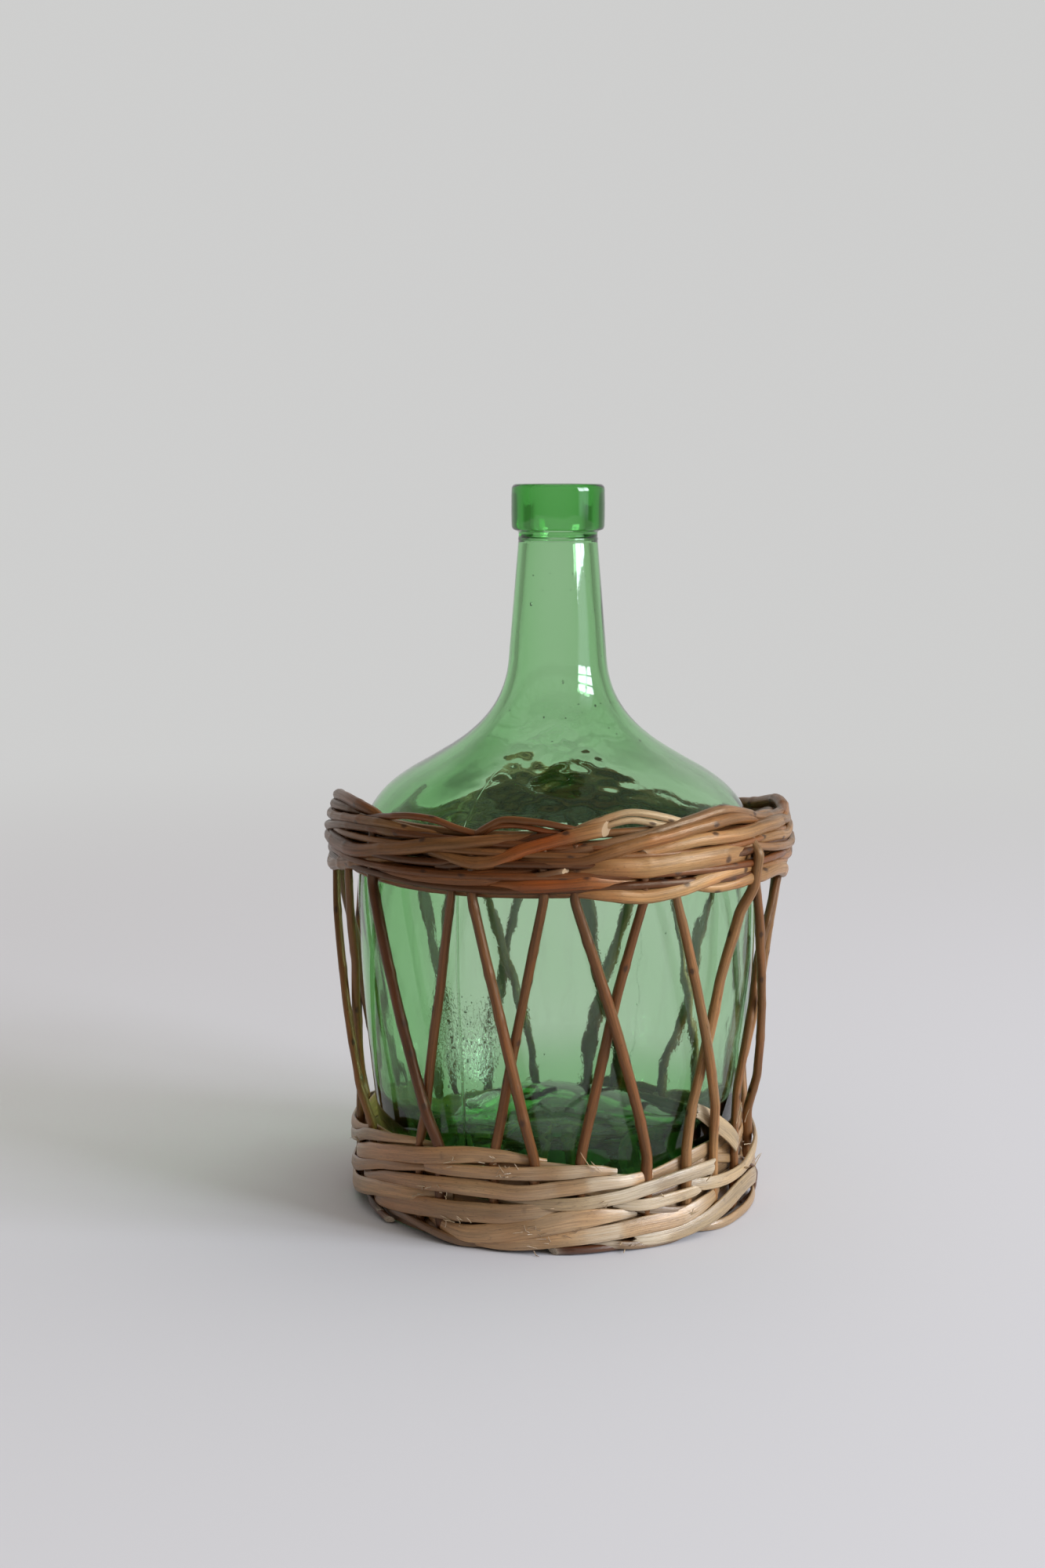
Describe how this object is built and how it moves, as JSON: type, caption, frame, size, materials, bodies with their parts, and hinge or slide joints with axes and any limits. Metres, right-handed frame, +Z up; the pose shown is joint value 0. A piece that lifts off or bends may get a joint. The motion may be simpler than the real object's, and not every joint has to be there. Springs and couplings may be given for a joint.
{
  "type": "demijohn",
  "caption": "Round-shouldered green glass demijohn with a collared neck, standing in an open basket of crossed willow stakes with a twisted rim and a woven foot.",
  "frame": {"origin": "middle of the basket's foot, on the surface it stands on", "axes": "+Z up along the bottle's axis, -Y the side that the picture shows"},
  "size_m": [0.2092, 0.2092, 0.32],
  "materials": {
    "green_glass": "clear green glass, seeded and slightly wavy",
    "brown_willow": "round brown willow rod with its bark on",
    "split_willow": "flat split willow, pale and fibrous"
  },
  "bodies": {
    "basket": {"right_leaning_stake_01": "brown_willow", "left_leaning_stake_01": "brown_willow", "right_leaning_stake_02": "brown_willow", "left_leaning_stake_02": "brown_willow", "right_leaning_stake_03": "brown_willow", "left_leaning_stake_03": "brown_willow", "right_leaning_stake_04": "brown_willow", "left_leaning_stake_04": "brown_willow", "right_leaning_stake_05": "brown_willow", "left_leaning_stake_05": "brown_willow", "right_leaning_stake_06": "brown_willow", "left_leaning_stake_06": "brown_willow", "right_leaning_stake_07": "brown_willow", "left_leaning_stake_07": "brown_willow", "right_leaning_stake_08": "brown_willow", "left_leaning_stake_08": "brown_willow", "right_leaning_stake_09": "brown_willow", "left_leaning_stake_09": "brown_willow", "right_leaning_stake_10": "brown_willow", "left_leaning_stake_10": "brown_willow", "right_leaning_stake_11": "brown_willow", "left_leaning_stake_11": "brown_willow", "right_leaning_stake_12": "brown_willow", "left_leaning_stake_12": "brown_willow", "rim_rod_1": "brown_willow", "rim_rod_2": "brown_willow", "rim_rod_3": "brown_willow", "border_rod_1": "brown_willow", "border_rod_2": "brown_willow", "border_rod_3": "brown_willow", "border_rod_4": "brown_willow", "border_rod_5": "brown_willow", "side_strip_1": "split_willow", "side_strip_2": "split_willow", "side_strip_3": "split_willow", "side_strip_4": "split_willow", "side_strip_5": "split_willow", "foot_hoop": "split_willow", "floor_stick_1": "brown_willow", "floor_stick_2": "brown_willow", "floor_stick_3": "brown_willow", "floor_stick_4": "brown_willow", "floor_stick_5": "brown_willow", "floor_stick_6": "brown_willow", "floor_stick_7": "brown_willow", "floor_stick_8": "brown_willow", "floor_strip_1": "split_willow", "floor_strip_2": "split_willow", "floor_strip_3": "split_willow", "floor_strip_4": "split_willow"},
    "bottle": {"glass_bottle": "green_glass"}
  },
  "joints": [
    {"name": "bottle_lift", "type": "slide", "parent": "basket", "child": "bottle", "axis": [0, 0, 1], "range_m": [0, 0.2]}
  ]
}
